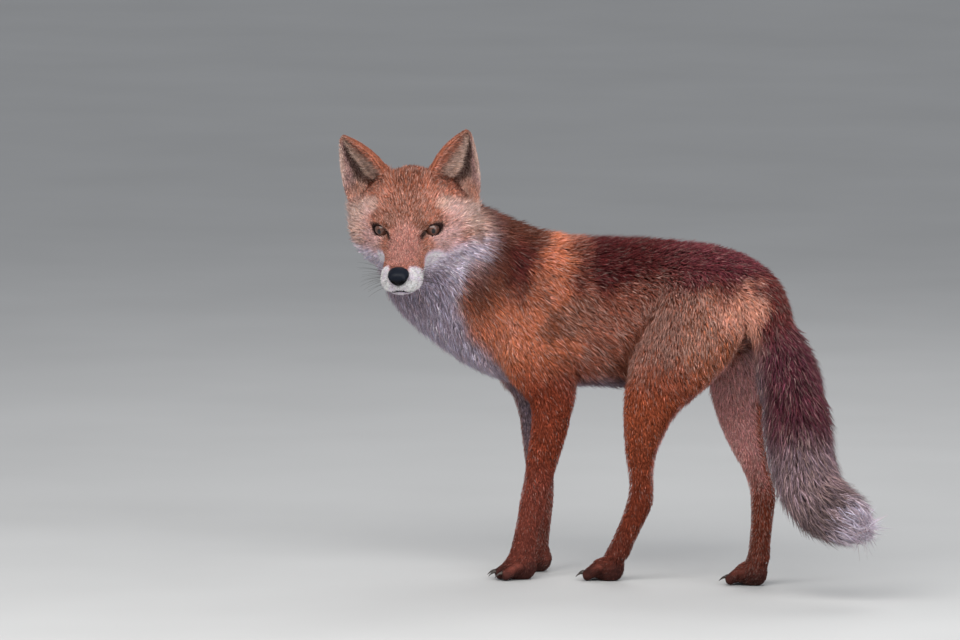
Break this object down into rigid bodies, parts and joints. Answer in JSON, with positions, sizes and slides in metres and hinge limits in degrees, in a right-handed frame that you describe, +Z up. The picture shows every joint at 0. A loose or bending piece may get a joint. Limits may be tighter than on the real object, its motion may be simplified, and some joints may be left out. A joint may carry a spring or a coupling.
{
  "type": "red fox",
  "caption": "Life-size standing red fox, body curved to its left, head turned back over the left shoulder, near hind leg forward, brush hanging behind.",
  "frame": {"origin": "middle of the bounding box, on the floor that the paws stand on", "axes": "-X ahead along the trunk from the rump to the withers, -Y to the fox's left, +Z up"},
  "size_m": [0.6, 0.3112, 0.4952],
  "materials": {
    "coat": "short to medium fur, rust red with pale tips",
    "throat": "pale grey-white fur",
    "brush": "long dark fur with a pale tip",
    "leg": "short sleek fur, dark red-brown",
    "ear": "short fur, dark behind and buff in front",
    "nose": "moist black skin",
    "eye": "amber-brown with a dark pupil, wet gloss"
  },
  "bodies": {
    "root": {"head": "coat", "lower_jaw": "throat", "nose": "nose", "eye_left": "eye", "eye_right": "eye", "ear_left": "ear", "ear_right": "ear", "neck": "coat", "chest": "coat", "belly": "coat", "rump": "coat", "tail_base": "brush", "tail_middle": "brush", "tail_tip": "brush", "shoulder_left": "leg", "forearm_left": "leg", "forefoot_left": "leg", "forepaw_left": "leg", "thigh_left": "leg", "shank_left": "leg", "hindfoot_left": "leg", "hindpaw_left": "leg", "shoulder_right": "leg", "forearm_right": "leg", "forefoot_right": "leg", "forepaw_right": "leg", "thigh_right": "leg", "shank_right": "leg", "hindfoot_right": "leg", "hindpaw_right": "leg"}
  },
  "joints": []
}
